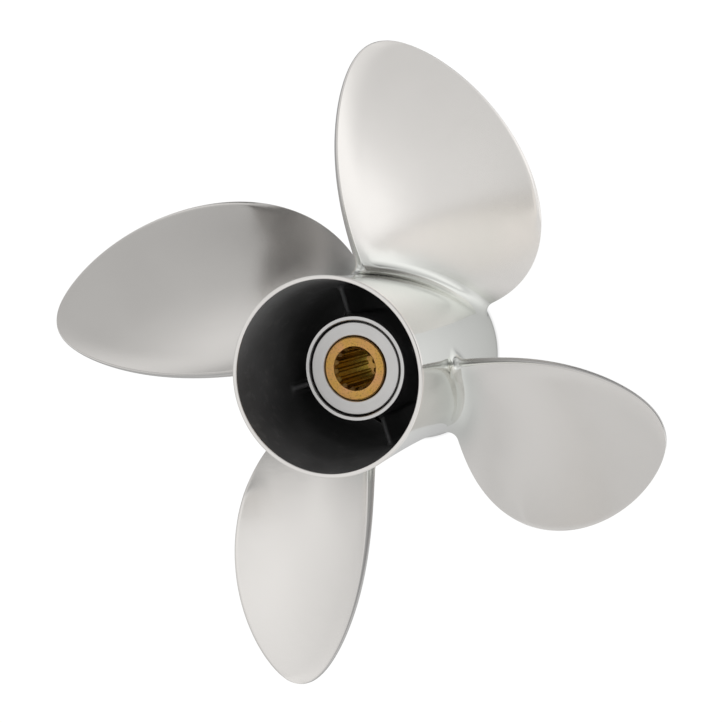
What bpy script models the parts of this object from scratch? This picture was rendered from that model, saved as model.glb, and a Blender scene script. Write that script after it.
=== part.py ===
"""A four-bladed, right-hand boat propeller with its exhaust passage through the hub.

Frame: metres, +Z up, which is aft along the shaft. The origin is the centre of the barrel's forward rim,
the ring that the propeller stands on. Angles are counted from +X towards +Y, seen from aft.
"""
import math

import bmesh
import bpy
from mathutils import Vector

MM = 0.001
DEG = math.pi / 180
GAP = 0.3 * MM  # kept between pieces that touch on the real propeller

# Blades: one form, turned to four places
BLADE_COUNT = 4
FIRST_BLADE_ANGLE = 90 * DEG
TIP_RADIUS = 177.8 * MM  # a 14 inch propeller
ROOT_RADIUS = 55.0 * MM
PITCH = 444.5 * MM  # 17.5 inches
ROOT_MIDDLE_HEIGHT = 50.5 * MM
ROOT_THICKNESS = 9.5 * MM
TIP_THICKNESS = 2.4 * MM
LEADING_EDGE = 0.9 * MM
TRAILING_EDGE_ROOT = 3.4 * MM
TRAILING_EDGE_TIP = 2.0 * MM
ROOT_FILLET = 8.0 * MM
FILLET_TURN = 0.1  # the share of the chord over which the fillet turns round each edge
SKEW_DEGREES = (-4, 20)  # how far the blade's middle line swings, by powers of the share of the span
HALF_CHORD_DEGREES = (33, 23, -19, -5)  # half the blade's width, by powers of that share
RAKE_SLOPES = (0.37, 0.07)  # how far the blade leans aft, by powers of that share
SWELL_FORWARD = 0.85  # below one, the thickest place moves towards the leading edge
SWELL_FULLNESS = 0.8  # below one, the section is fuller than a sine wave
TIP_END = 0.988  # the last section, as a share of the way to the point of the tip

# Barrel: the outer tube, waisted on the outside and flared at its aft mouth
BARREL_LENGTH = 146.0 * MM
RIM_RADIUS = 54.0 * MM
WAIST_RADIUS = 51.3 * MM
WAIST_HEIGHT = 50.0 * MM
THROAT_RADIUS = 46.6 * MM
MOUTH_RADIUS = 51.6 * MM
MOUTH_DEPTH = 86.0 * MM
FRONT_RECESS_RADIUS = 50.4 * MM
FRONT_RECESS_DEPTH = 14.0 * MM
RIM_ROUND = 0.6 * MM
FORWARD_FLARE = 2.0  # how sharply the outside widens towards each rim: the power of the share of the way
AFT_FLARE = 1.75
MOUTH_FLARE = 1.6

# Inner hub: the tube on the barrel's axis, with its forward shoulder
TUBE_AFT = 102.6 * MM
TUBE_FORWARD = 12.0 * MM
TUBE_RADIUS = 29.5 * MM
TUBE_BORE = 26.8 * MM
SHOULDER_BORE = 22.0 * MM
SHOULDER_DEPTH = 8.0 * MM
TUBE_CHAMFER = 0.5 * MM

# Ribs between the tube and the barrel, half way between the blades
RIB_COUNT = 4
FIRST_RIB_ANGLE = 45 * DEG
RIB_THICKNESS = 3.0 * MM
RIB_AFT = 86.0 * MM
RIB_FORWARD = 18.0 * MM
RIB_CLEARANCE = 1.5 * GAP  # from the barrel's wall, which has flat facets here

# Bushing: rubber between the tube and the splined sleeve, with a flat ring over its aft end
RING_THICKNESS = 4.8 * MM
RING_RECESS = 0.4 * MM
RING_RADIUS = 25.8 * MM
RING_BORE = 18.4 * MM
RING_CHAMFER = 0.4 * MM
SLEEVE_AFT = 102.3 * MM
SLEEVE_FORWARD = 9.0 * MM
SLEEVE_RADIUS = 17.7 * MM
SLEEVE_CHAMFER = 0.6 * MM
SPLINE_TEETH = 15
SPLINE_TIP_RADIUS = 10.6 * MM
SPLINE_ROOT_RADIUS = 12.2 * MM
SPLINE_LEAD_IN = 1.6 * MM  # the slope at each end of the teeth
SPLINE_FORWARD = 50.0 * MM  # forward of this height the bore is plain
BORE_CHAMFER = 0.3 * MM
FORWARD_BORE_RADIUS = 14.8 * MM

# Fineness of the meshes
BARREL_STEPS = 64
TUBE_STEPS = 48
CHORD_STEPS = 10
SPAN_STEPS = 11
OUTSIDE_STEPS = 12
MOUTH_STATIONS = (0.7, 0.45, 0.2)  # shares of the mouth's depth, from the barrel's aft rim
CUTTER_REACH = 20 * MM  # how far the blades' trimming tool stands out forward of the barrel
ROOT_STATIONS = (-0.03, 0.0, 0.014, 0.034)  # shares of the span: inside the barrel, then up the fillet
SPLINE_CORNERS = (0.00, 0.30, 0.46, 0.84)  # of one tooth's pitch: tip, tip, gap, gap
SEAT_FADE = 6  # how soon the sections stop following the barrel's own curve, outwards along the span


def clear_scene():
    for thing in list(bpy.data.objects):
        bpy.data.objects.remove(thing, do_unlink=True)


def make_material(name, color, roughness, metallic):
    material = bpy.data.materials.new(name)
    material.use_nodes = True
    shader = material.node_tree.nodes["Principled BSDF"]
    shader.inputs["Base Color"].default_value = (*color, 1.0)
    shader.inputs["Roughness"].default_value = roughness
    shader.inputs["Metallic"].default_value = metallic
    return material


def finish_mesh(name, bm, material, sharp_angle=35 * DEG):
    bmesh.ops.recalc_face_normals(bm, faces=bm.faces)
    mesh = bpy.data.meshes.new(name)
    bm.to_mesh(mesh)
    bm.free()
    mesh.shade_smooth()
    mesh.set_sharp_from_angle(angle=sharp_angle)
    mesh.materials.append(material)
    piece = bpy.data.objects.new(name, mesh)
    bpy.context.collection.objects.link(piece)
    return piece


def turned_piece(name, profile, steps, material):
    """Spin a closed (radius, height) outline once round the Z axis."""
    bm = bmesh.new()
    corners = [bm.verts.new((radius, 0.0, height)) for radius, height in profile]
    edges = [bm.edges.new((a, b)) for a, b in zip(corners, corners[1:] + corners[:1])]
    bmesh.ops.spin(
        bm,
        geom=corners + edges,
        cent=(0, 0, 0),
        axis=(0, 0, 1),
        angle=2 * math.pi,
        steps=steps,
        use_merge=True,
    )
    bmesh.ops.remove_doubles(bm, verts=bm.verts, dist=0.01 * MM)
    return finish_mesh(name, bm, material)


def outer_radius(height):
    """Radius of the barrel's outside at a height above its forward rim."""
    if height < WAIST_HEIGHT:
        share = 1 - height / WAIST_HEIGHT
        return WAIST_RADIUS + (RIM_RADIUS - WAIST_RADIUS) * share**FORWARD_FLARE
    share = (height - WAIST_HEIGHT) / (BARREL_LENGTH - WAIST_HEIGHT)
    return WAIST_RADIUS + (RIM_RADIUS - WAIST_RADIUS) * share**AFT_FLARE


def inner_radius(height):
    """Radius of the exhaust passage's wall at a height above the forward rim."""
    if height < FRONT_RECESS_DEPTH:
        share = 1 - height / FRONT_RECESS_DEPTH
        return THROAT_RADIUS + (FRONT_RECESS_RADIUS - THROAT_RADIUS) * share
    share = max(0.0, (height - BARREL_LENGTH + MOUTH_DEPTH) / MOUTH_DEPTH)
    return THROAT_RADIUS + (MOUTH_RADIUS - THROAT_RADIUS) * share**MOUTH_FLARE


def make_barrel(material):
    outside_heights = [RIM_ROUND]
    outside_heights += [BARREL_LENGTH * i / OUTSIDE_STEPS for i in range(1, OUTSIDE_STEPS)]
    outside_heights.append(BARREL_LENGTH - RIM_ROUND)
    inside_heights = [RIM_ROUND, FRONT_RECESS_DEPTH, BARREL_LENGTH - MOUTH_DEPTH]
    inside_heights += [BARREL_LENGTH - MOUTH_DEPTH * share for share in MOUTH_STATIONS]
    inside_heights.append(BARREL_LENGTH - RIM_ROUND)
    outline = [(outer_radius(0) - RIM_ROUND, 0.0)]
    outline += [(outer_radius(height), height) for height in outside_heights]
    outline += [
        (RIM_RADIUS - RIM_ROUND, BARREL_LENGTH),
        (MOUTH_RADIUS + RIM_ROUND, BARREL_LENGTH),
    ]
    outline += [(inner_radius(height), height) for height in reversed(inside_heights)]
    outline.append((FRONT_RECESS_RADIUS + RIM_ROUND, 0.0))
    return turned_piece("outer_barrel", outline, BARREL_STEPS, material)


def make_hub_tube(material):
    shoulder_top = TUBE_FORWARD + SHOULDER_DEPTH
    outline = [
        (TUBE_RADIUS - TUBE_CHAMFER, TUBE_FORWARD),
        (TUBE_RADIUS, TUBE_FORWARD + TUBE_CHAMFER),
        (TUBE_RADIUS, TUBE_AFT - TUBE_CHAMFER),
        (TUBE_RADIUS - TUBE_CHAMFER, TUBE_AFT),
        (TUBE_BORE + TUBE_CHAMFER, TUBE_AFT),
        (TUBE_BORE, TUBE_AFT - TUBE_CHAMFER),
        (TUBE_BORE, shoulder_top),
        (SHOULDER_BORE, shoulder_top),
        (SHOULDER_BORE, TUBE_FORWARD + TUBE_CHAMFER),
        (SHOULDER_BORE + TUBE_CHAMFER, TUBE_FORWARD),
    ]
    return turned_piece("inner_hub_tube", outline, TUBE_STEPS, material)


def make_rubber(material):
    bottom = TUBE_FORWARD + SHOULDER_DEPTH + GAP
    top = SLEEVE_AFT - RING_RECESS - RING_THICKNESS - GAP
    inner = SLEEVE_RADIUS + GAP
    outer = TUBE_BORE - GAP
    outline = [(outer, bottom), (outer, top), (inner, top), (inner, bottom)]
    return turned_piece("rubber_bushing", outline, TUBE_STEPS, material)


def make_ring(material):
    top = SLEEVE_AFT - RING_RECESS
    bottom = top - RING_THICKNESS
    outline = [
        (RING_RADIUS, bottom),
        (RING_RADIUS, top - RING_CHAMFER),
        (RING_RADIUS - RING_CHAMFER, top),
        (RING_BORE + RING_CHAMFER, top),
        (RING_BORE, top - RING_CHAMFER),
        (RING_BORE, bottom),
    ]
    return turned_piece("bushing_end_ring", outline, TUBE_STEPS, material)


def spline_outline():
    """Angles and radii of the sleeve's bore: four corners to each tooth."""
    pitch = 2 * math.pi / SPLINE_TEETH
    points = []
    for tooth in range(SPLINE_TEETH):
        for corner, share in enumerate(SPLINE_CORNERS):
            radius = SPLINE_TIP_RADIUS if corner < 2 else SPLINE_ROOT_RADIUS
            points.append(((tooth + share) * pitch, radius))
    return points


def make_sleeve(material):
    """A round sleeve with a straight-sided spline in the aft part of its bore, and a plain bore that widens
    forward of it."""
    bore = spline_outline()

    def splined_ring(height):
        return [(radius, angle, height) for angle, radius in bore]

    def round_ring(radius, height):
        return [(radius, angle, height) for angle, _ in bore]

    rings = [
        round_ring(FORWARD_BORE_RADIUS, SLEEVE_FORWARD),
        round_ring(SPLINE_ROOT_RADIUS + BORE_CHAMFER, SPLINE_FORWARD),
        splined_ring(SPLINE_FORWARD + SPLINE_LEAD_IN),
        splined_ring(SLEEVE_AFT - SPLINE_LEAD_IN),
        round_ring(SPLINE_ROOT_RADIUS + BORE_CHAMFER, SLEEVE_AFT),
        round_ring(SLEEVE_RADIUS - SLEEVE_CHAMFER, SLEEVE_AFT),
        round_ring(SLEEVE_RADIUS, SLEEVE_AFT - SLEEVE_CHAMFER),
        round_ring(SLEEVE_RADIUS, SLEEVE_FORWARD + SLEEVE_CHAMFER),
        round_ring(SLEEVE_RADIUS - SLEEVE_CHAMFER, SLEEVE_FORWARD),
    ]
    bm = bmesh.new()
    loops = []
    for ring in rings:
        loops.append([bm.verts.new(polar(radius, angle, height)) for radius, angle, height in ring])
    for low, high in zip(loops, loops[1:] + loops[:1]):
        join_loops(bm, low, high)
    return finish_mesh("splined_sleeve", bm, material)


def polar(radius, angle, height):
    return Vector((radius * math.cos(angle), radius * math.sin(angle), height))


def join_loops(bm, low, high):
    """Fill the band between two closed loops of as many corners."""
    count = len(low)
    for i in range(count):
        j = (i + 1) % count
        bm.faces.new((low[i], low[j], high[j], high[i]))


def rib_outline():
    """The rib's (radius, height) outline, clear of the tube and of the barrel's wall."""
    inner = TUBE_RADIUS + GAP
    heights = (RIB_FORWARD, BARREL_LENGTH - MOUTH_DEPTH, RIB_AFT)
    outline = [(inner, RIB_FORWARD)]
    outline += [(inner_radius(height) - RIB_CLEARANCE, height) for height in heights]
    outline.append((inner, RIB_AFT))
    return outline


def make_rib(number, material):
    angle = FIRST_RIB_ANGLE + (number - 1) * 2 * math.pi / RIB_COUNT
    bm = bmesh.new()
    sides = []
    for side in (-0.5 * RIB_THICKNESS, 0.5 * RIB_THICKNESS):
        sides.append([bm.verts.new((radius, side, height)) for radius, height in rib_outline()])
    join_loops(bm, sides[0], sides[1])
    bm.faces.new(sides[0])
    bm.faces.new(reversed(sides[1]))
    rib = finish_mesh(f"rib_{number}", bm, material)
    rib.rotation_euler.z = angle
    return rib


def span_share(radius):
    return (radius - ROOT_RADIUS) / (TIP_RADIUS - ROOT_RADIUS)


def chord_angles(share):
    """Angles of the leading and the trailing edge, seen from aft, at a share of the blade's span."""
    middle = sum(term * share ** (power + 1) for power, term in enumerate(SKEW_DEGREES)) * DEG
    width = sum(term * share**power for power, term in enumerate(HALF_CHORD_DEGREES)) * DEG
    half = math.sqrt(max(0.0, 1 - share)) * width
    return middle - half, middle + half


def rake(share):
    lean = sum(term * share ** (power + 1) for power, term in enumerate(RAKE_SLOPES))
    return (TIP_RADIUS - ROOT_RADIUS) * lean


def thickness(share, chord):
    """Blade thickness: thin at the leading edge, full at the middle, squared off at the trailing edge."""
    edge_aft = TRAILING_EDGE_ROOT + (TRAILING_EDGE_TIP - TRAILING_EDGE_ROOT) * share
    edges = LEADING_EDGE + (edge_aft - LEADING_EDGE) * chord
    middle = ROOT_THICKNESS + (TIP_THICKNESS - ROOT_THICKNESS) * share
    swell = math.sin(math.pi * chord**SWELL_FORWARD) ** SWELL_FULLNESS if 0 < chord < 1 else 0.0
    return edges + max(0.0, middle - edges) * swell


def fillet_width(height):
    """How far the root fillet stands out from the blade at a height above the barrel."""
    if height >= ROOT_FILLET:
        return 0.0
    rise = ROOT_FILLET - max(height, GAP)
    return ROOT_FILLET - math.sqrt(ROOT_FILLET**2 - rise**2)


def blade_point(station, chord, back):
    """A point of the blade: station 0 to 1 along the span, chord 0 to 1 from the leading edge,
    on the pressure face or, where back is true, on the suction face."""
    radius = ROOT_RADIUS + station * (TIP_RADIUS - ROOT_RADIUS)
    seat = min(1.0, (1 - station) ** SEAT_FADE)
    for _ in range(4):
        share = span_share(radius)
        leading, trailing = chord_angles(share)
        slope = math.atan(PITCH / (2 * math.pi * radius))
        trailing -= thickness(share, 1.0) * math.sin(slope) / radius
        angle = leading + (trailing - leading) * chord
        height = ROOT_MIDDLE_HEIGHT + rake(share) + PITCH * angle / (2 * math.pi)
        base = outer_radius(height)
        radius = ROOT_RADIUS + station * (TIP_RADIUS - ROOT_RADIUS) + (base + GAP - ROOT_RADIUS) * seat
    flare = fillet_width(radius - base)
    swing = min(1.0, chord / FILLET_TURN, (1 - chord) / FILLET_TURN) * math.pi / 2
    outward = flare * math.sin(swing)
    across = thickness(share, chord) + outward if back else -outward
    along = math.copysign(flare * math.cos(swing), chord - 0.5)
    sideways = along * math.cos(slope) + across * math.sin(slope)
    upward = along * math.sin(slope) - across * math.cos(slope)
    radius += (outer_radius(height + upward) - base) * seat
    return radius, angle + sideways / radius, height + upward


def make_blade(number, cutter, material):
    turn = FIRST_BLADE_ANGLE + (number - 1) * 2 * math.pi / BLADE_COUNT
    stations = list(ROOT_STATIONS)
    stations += [1 - (1 - TIP_END * i / (SPAN_STEPS + 1)) ** 2 for i in range(1, SPAN_STEPS + 2)]
    chords = [0.5 - 0.5 * math.cos(math.pi * i / CHORD_STEPS) for i in range(CHORD_STEPS + 1)]
    bm = bmesh.new()
    loops = []
    for station in stations:
        loop = []
        for back in (False, True):
            for chord in reversed(chords) if back else chords:
                radius, angle, height = blade_point(station, chord, back)
                loop.append(bm.verts.new(polar(radius, angle + turn, height)))
        loops.append(loop)
    for low, high in zip(loops, loops[1:]):
        join_loops(bm, low, high)
    for loop in (loops[0], loops[-1]):
        for i in range(CHORD_STEPS):
            bm.faces.new((loop[i], loop[i + 1], loop[-2 - i], loop[-1 - i]))
    blade = finish_mesh(f"blade_{number}", bm, material)
    trim = blade.modifiers.new("seat on the barrel", "BOOLEAN")
    trim.operation = "DIFFERENCE"
    trim.object = cutter
    return blade


def make_barrel_cutter(material):
    """The barrel's outside with the gap added, which trims the blades' roots."""
    heights = [-CUTTER_REACH] + [BARREL_LENGTH * i / OUTSIDE_STEPS for i in range(OUTSIDE_STEPS + 1)]
    outline = [(outer_radius(max(0.0, height)) + GAP, height) for height in heights]
    outline += [(TUBE_RADIUS, BARREL_LENGTH), (TUBE_RADIUS, -CUTTER_REACH)]
    cutter = turned_piece("barrel_cutter", outline, 2 * BARREL_STEPS, material)
    cutter.hide_render = True
    cutter.display_type = "WIRE"
    return cutter


def main():
    clear_scene()
    polished_steel = make_material("polished_stainless", (0.72, 0.71, 0.69), 0.14, 1.0)
    exhaust_coat = make_material("exhaust_coat", (0.035, 0.036, 0.038), 0.65, 0.0)
    machined_steel = make_material("machined_steel", (0.62, 0.61, 0.60), 0.30, 1.0)
    rubber = make_material("black_rubber", (0.02, 0.02, 0.02), 0.80, 0.0)
    ring_steel = make_material("ring_steel", (0.56, 0.56, 0.56), 0.45, 1.0)
    brass = make_material("brass", (0.78, 0.57, 0.26), 0.32, 1.0)
    make_barrel(polished_steel)
    cutter = make_barrel_cutter(polished_steel)
    for number in range(1, BLADE_COUNT + 1):
        make_blade(number, cutter, polished_steel)
    for number in range(1, RIB_COUNT + 1):
        make_rib(number, exhaust_coat)
    make_hub_tube(machined_steel)
    make_rubber(rubber)
    make_ring(ring_steel)
    make_sleeve(brass)


main()
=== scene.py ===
"""The looks of a four-bladed boat propeller in polished stainless steel, on a pale studio floor.

Frame: metres, +Z up, which is aft along the shaft; the propeller stands on the forward rim of its barrel.
Angles are counted from +X towards +Y, seen from aft. Sizes that the solids have too are repeated here.
"""
import math

import bmesh
import bpy
from mathutils import Matrix, Vector


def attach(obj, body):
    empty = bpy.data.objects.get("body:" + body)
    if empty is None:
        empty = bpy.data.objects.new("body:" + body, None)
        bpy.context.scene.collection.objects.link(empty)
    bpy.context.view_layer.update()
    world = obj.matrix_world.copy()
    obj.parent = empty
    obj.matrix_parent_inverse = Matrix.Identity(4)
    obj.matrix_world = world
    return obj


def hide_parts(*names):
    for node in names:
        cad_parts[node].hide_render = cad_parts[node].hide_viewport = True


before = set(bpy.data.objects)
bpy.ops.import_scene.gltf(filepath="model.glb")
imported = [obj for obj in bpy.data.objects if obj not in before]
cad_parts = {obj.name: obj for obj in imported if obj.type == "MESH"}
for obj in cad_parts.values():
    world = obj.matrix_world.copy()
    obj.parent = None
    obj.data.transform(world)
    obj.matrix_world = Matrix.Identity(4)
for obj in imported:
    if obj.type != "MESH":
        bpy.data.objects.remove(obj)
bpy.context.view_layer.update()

MM = 0.001
DEG = math.pi / 180
SHARP_ANGLE = 40 * DEG  # edges sharper than this stay sharp in the shading

# Camera: place and aim in metres, from a scratch program's fit to the photographed propeller's outline
CAMERA_PLACE = (0.2199, 0.2076, 0.8631)
CAMERA_AIM = (-0.0019, 0.0020, 0.0893)
CAMERA_UP = (-0.4691, 0.8776, -0.0987)
CAMERA_LENS_MM = 73.54
SENSOR_MM = 36.0
NEAREST_SEEN = 10.0 * MM

# Blades: their outline, rake, hollow and nose were fitted to the photograph by scratch programs, then rounded
BLADE_COUNT = 4
FIRST_BLADE_ANGLE = 90 * DEG
TIP_RADIUS = 177.8 * MM
ROOT_RADIUS = 55.0 * MM
PITCH = 444.5 * MM
ROOT_MIDDLE_HEIGHT = 50.5 * MM
RAKE = 0.37  # how far aft the blade leans, as a share of its span
RAKE_CURVE = 0.07  # and how much more it leans at the tip
SKEW = (-4.0, 20.0)  # degrees that the middle line swings, times the span share and its square
HALF_WIDTH = (33.0, 23.0, -19.0, -5.0)  # degrees from middle line to edge, by powers of the span share
ROOT_THICKNESS = 9.5 * MM
TIP_THICKNESS = 2.4 * MM
SWELL_FORWARD = 0.85  # below one, the thickest place lies forward of the middle
SWELL_FULLNESS = 0.8
LEADING_EDGE = 0.9 * MM
TRAILING_EDGE_ROOT = 4.6 * MM
TRAILING_EDGE_TIP = 2.6 * MM
EDGE_ROUND = 0.44  # radius of the trailing edge's corners, as a share of its thickness
ROOT_FILLET = 8.0 * MM
FILLET_LEVEL = 0.8 * MM  # the root fillets stay above this height
SEAT_SHARE = 0.25  # the share of the span over which the blade stops following the barrel's waist
SEAT_ROUNDS = 5  # tries at the radius where a corner lies on the waist; each comes closer
CUP_WIDTH = 12.5 * MM
CUP_DEPTH = 1.2 * MM
NOSE_ROLL = 2.6 * MM  # how far the pressure face rolls back at the leading edge
NOSE_ROLL_SHARE = 0.38  # the most that it rolls back, as a share of the local thickness
NOSE_RUN_ROOT = 32.0 * MM  # how far back from the edge the roll runs, at the root and farther out
NOSE_RUN_OUTER = 5.0 * MM
NOSE_RUN_SHARES = (0.43, 0.58)  # between these shares of the span the run gets shorter
NOSE_FADE_SHARES = (0.55, 0.95)  # and between these the roll gets less
NOSE_FADE = 0.7
HOLLOW_ROOT = 0.012  # how far the pressure face bows in at the root, as a share of the chord
HOLLOW_TIP = -0.003
HOLLOW_LEAD = 0.4  # how much of the hollow lies nearer to the leading edge
TAPER_CHORD = 30.0 * MM  # below this chord the blade thins towards its tip
TIP_END = 0.984  # the last section, as a share of the way to the point of the tip
SPAN_STEPS = 84
CHORD_STEPS = 44
FILLET_STEPS = 12
NOSE_STEPS = 8
CORNER_STEPS = 6
SINK = 0.3 * MM  # how far a fillet's hidden skirt goes into what carries it

GROUND_EDGE = "ground_edge"  # the attribute that marks the ground face of the trailing edge
GROUND_MARGIN = 2  # corners beside that face which the attribute leaves out
GROUND_FADE = (54.0 * MM, 66.0 * MM)  # the grinding starts between these radii

# Barrel
BARREL_LENGTH = 146.0 * MM
RIM_RADIUS = 54.0 * MM
WAIST_RADIUS = 51.3 * MM
WAIST_HEIGHT = 50.0 * MM
THROAT_RADIUS = 46.6 * MM
MOUTH_RADIUS = 51.6 * MM
MOUTH_DEPTH = 86.0 * MM
FORWARD_FLARE = 2  # powers of the curves in which the barrel opens out: outside, forward of the waist
AFT_FLARE = 1.75  # outside, aft of the waist
MOUTH_FLARE = 1.6  # inside, towards the mouth
FRONT_RECESS_RADIUS = 50.4 * MM
FRONT_RECESS_DEPTH = 14.0 * MM
RIM_ROUND = 0.6 * MM
BARREL_STEPS = 256
OUTSIDE_STEPS = 60
INSIDE_STEPS = 40
LIP_STEPS = 5

# Inner hub
TUBE_AFT = 102.6 * MM
TUBE_FORWARD = 12.0 * MM
TUBE_RADIUS = 29.5 * MM
TUBE_BORE = 26.8 * MM
SHOULDER_BORE = 22.0 * MM
SHOULDER_DEPTH = 8.0 * MM
TUBE_CHAMFER = 0.5 * MM
BARE_BAND = 1.1 * MM  # how far from its aft end the tube's outside is machined bright
BARE_TAPER = 0.05 * MM
TUBE_STEPS = 192

# Ribs
RIB_COUNT = 4
FIRST_RIB_ANGLE = 45 * DEG
RIB_THICKNESS = 3.0 * MM
RIB_AFT = 86.0 * MM
RIB_FORWARD = 18.0 * MM
RIB_FILLET = 3.0 * MM
RIB_EDGE_STEPS = 8
RIB_SIDE_STEPS = 16

# Bushing and sleeve
RING_THICKNESS = 4.8 * MM
RING_RECESS = 0.4 * MM
RING_RADIUS = 25.8 * MM
RING_BORE = 18.4 * MM
RING_CHAMFER = 0.4 * MM
SLEEVE_AFT = 102.3 * MM
SLEEVE_FORWARD = 9.0 * MM
SLEEVE_RADIUS = 17.7 * MM
SLEEVE_CHAMFER = 0.6 * MM
SPLINE_TEETH = 15
SPLINE_TIP_RADIUS = 10.6 * MM
SPLINE_ROOT_RADIUS = 12.2 * MM
SPLINE_FORWARD = 50.0 * MM  # forward of this height the bore is plain
BORE_CHAMFER = 0.3 * MM
FORWARD_BORE_RADIUS = 14.8 * MM
TOOTH_HALF_WIDTH = 1.3 * MM
TOOTH_FLANK = 0.75  # powers that make the tooth's section squarer than a half round
TOOTH_CROWN = 0.8
TOOTH_STEPS = 12
RUBBER_ROUND = 0.8 * MM
RUBBER_STEPS = 4
GAP = 0.3 * MM

# Which of a piece's materials a stretch of its outline has
METAL = 0
COAT = 1

# Finishes: colours as linear red, green, blue and one; roughness from the cleanest to the dullest places
MASK_SPAN = (0.2, 0.8)  # the part of a mask's range in which most of a surface lies

BLADE_DULL = (0.87, 0.845, 0.815, 1.0)
BLADE_BRIGHT = (0.91, 0.885, 0.855, 1.0)
BLADE_ROUGHNESS = (0.08, 0.13)
BLADE_HAZE_SIZE = 35.0 * MM
BLADE_WAVE_SIZE = 22.0 * MM
BLADE_WAVE_DEPTH = 0.12 * MM
HUB_STEEL = (0.765, 0.785, 0.75, 1.0)  # where the polishing wheel reaches badly, round the blades' roots
HUB_STEEL_SHARE = 0.8
RIM_POLISH = (4.0 * MM, 2.0 * MM)  # that steel ends between these depths below the aft rim
SATIN_RADIUS = 74.0 * MM  # from here outwards the polish is softer
SATIN_EXTRA = 0.13
GROUND_STEEL = (0.58, 0.57, 0.56, 1.0)
GROUND_EXTRA = 0.12

COAT_BLACK = (0.060, 0.060, 0.061, 1.0)
COAT_SOOTY = (0.145, 0.145, 0.147, 1.0)
COAT_RUBBED = (0.24, 0.24, 0.235, 1.0)
# Painted sheen: a lighter coat on one side near the mouth, standing in for a glint of the tent
COAT_PAINTED_SHEEN = (0.26, 0.26, 0.26, 1.0)
COAT_ROUGHNESS = (0.36, 0.52)
COAT_CLOUD_SIZE = 30.0 * MM
COAT_PEEL_SCALE = 900.0
COAT_PEEL_DEPTH = 0.12 * MM
RUB_SCALE = 140.0
RUB_SPAN = (0.5, 0.8)
RUB_MOST = 0.5
PAINTED_SHEEN_SIDE = (150, 50)  # azimuth, and angle from straight up, of the side where the painted sheen lightens the coat most, in degrees
# The painted sheen rises between these distances towards that side
PAINTED_SHEEN_REACH = (105.0 * MM, 140.0 * MM)

MACHINED_DULL = (0.62, 0.61, 0.60, 1.0)
MACHINED_BRIGHT = (0.80, 0.79, 0.78, 1.0)
MACHINED_ROUGHNESS = (0.20, 0.32)
MACHINED_SPACING = 0.5 * MM
RING_DULL = (0.72, 0.71, 0.70, 1.0)
RING_BRIGHT = (0.90, 0.89, 0.87, 1.0)
RING_ROUGHNESS = (0.37, 0.49)
RING_SPACING = 0.6 * MM
RING_DRIFT_SCALE = 30.0  # how soon a turned ring changes along its way round
TURNED_HAZE_SIZE = 12.0 * MM
TURNED_DEPTH = 0.02 * MM

RUBBER_BLACK = (0.006, 0.006, 0.006, 1.0)
RUBBER_BLOOM = (0.018, 0.017, 0.017, 1.0)
RUBBER_ROUGHNESS = (0.65, 0.85)
RUBBER_BLOOM_SIZE = 6.0 * MM
RUBBER_DEPTH = 0.1 * MM

BRASS_GOLD = (0.70, 0.41, 0.10, 1.0)
BRASS_BLUSH = (0.74, 0.39, 0.17, 1.0)
BRASS_PIT = (0.36, 0.22, 0.08, 1.0)
BRASS_TARNISH = (0.40, 0.27, 0.045, 1.0)
BRASS_GRAZING_TINT = (0.84, 0.75, 0.48, 1.0)
BRASS_ROUGHNESS = (0.28, 0.42)
BRASS_DEPTH = 0.03 * MM
BRASS_SPACING = 0.5 * MM
BLUSH_SIZE = 8.0 * MM
PIT_SCALE = 1300.0
PIT_SPAN = (0.52, 0.68)
TARNISH_DEPTHS = (5.0 * MM, 1.5 * MM)  # the bore's tarnish fades towards its end between these depths
TARNISH_AT_END = 0.2
TARNISH_FADE = 0.15 * MM
TARNISH_SMOOTHER = -0.19  # the shaft has rubbed the tarnished teeth smooth

# Studio: soft patches of light and shade on the tent's wall, as azimuth, angle from straight up and radius
# in degrees, and strength; on the floor, as x, y and radius in metres, and strength. Most rows of both tables
# were worked out by scratch programs, from the brightness that the photographed steel mirrors. Some of them
# were then changed.
TENT_LEVEL = 0.51
TENT_PATCHES = (
    (-2, 73, 60, 0.54),
    (164, 71, 39, 0.40),
    (27, 63, 33, -0.44),
    (234, 20, 58, 0.29),
    (248, 99, 50, 0.16),
    (102, 69, 32, 0.24),
    (-62, 74, 44, 0.23),
    (188, 94, 27, 0.26),
    (148, 91, 31, -0.66),
    (47, 84, 26, -0.42),
    (-16, 66, 22, 0.08),
    (300, 80, 22, 0.14),
    (338, 80, 20, -0.10),
    (340, 66, 13, 0.13),
    (-15, 90, 30, 0.15),
    (15, 30, 32, -0.05),
    (75, 30, 45, -0.05),
    (150, 70, 32, 0.08),
    (300, 45, 32, -0.04),
)
FLOOR_LEVEL = 0.69
FLOOR_PATCHES = (
    (-0.031, 0.330, 0.680, -0.49),
    (0.189, 0.120, 0.368, 0.60),
    (0.139, -0.309, 0.113, -0.29),
    (0.010, 0.001, 0.103, -0.32),
    (-0.20, 0.40, 0.50, -0.22),
    (-0.02, 0.53, 0.38, -0.20),
    (0.10, 0.20, 0.20, 0.18),
    (-0.20, -0.20, 0.50, -0.05),
    (0.00, 0.60, 0.35, -0.06),
)
DIMMEST = 0.02  # no patch makes the tent or the floor darker than this
FLOOR_FADE = (1.2, 3.0)  # the floor goes over into the backdrop between these distances
FLOOR_SHADOW = 0.06
FLOOR_PAPER = 0.9
BACKDROP_LEVEL = 1.06
BARREL_FOOT = (0.050, 0.056)  # the barrel stands on the floor inside these radii
BARREL_SHADE = 0.10
BORE_LIGHT = (0.014, 1.2)  # radius and strength of the light that comes up through the bore


# Small helpers for numbers


def between(low, high, share):
    return low + (high - low) * share


def smooth_step(value, low, high):
    """Nought up to low, one from high onwards, and a smooth rise between them."""
    share = min(1.0, max(0.0, (value - low) / (high - low)))
    return share * share * (3 - 2 * share)


def polar(radius, angle, height):
    return Vector((radius * math.cos(angle), radius * math.sin(angle), height))


def direction(azimuth, off_axis):
    """A unit vector at an azimuth, and so many degrees away from straight up."""
    return polar(math.sin(off_axis * DEG), azimuth * DEG, math.cos(off_axis * DEG))


# Small helpers for node trees


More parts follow.
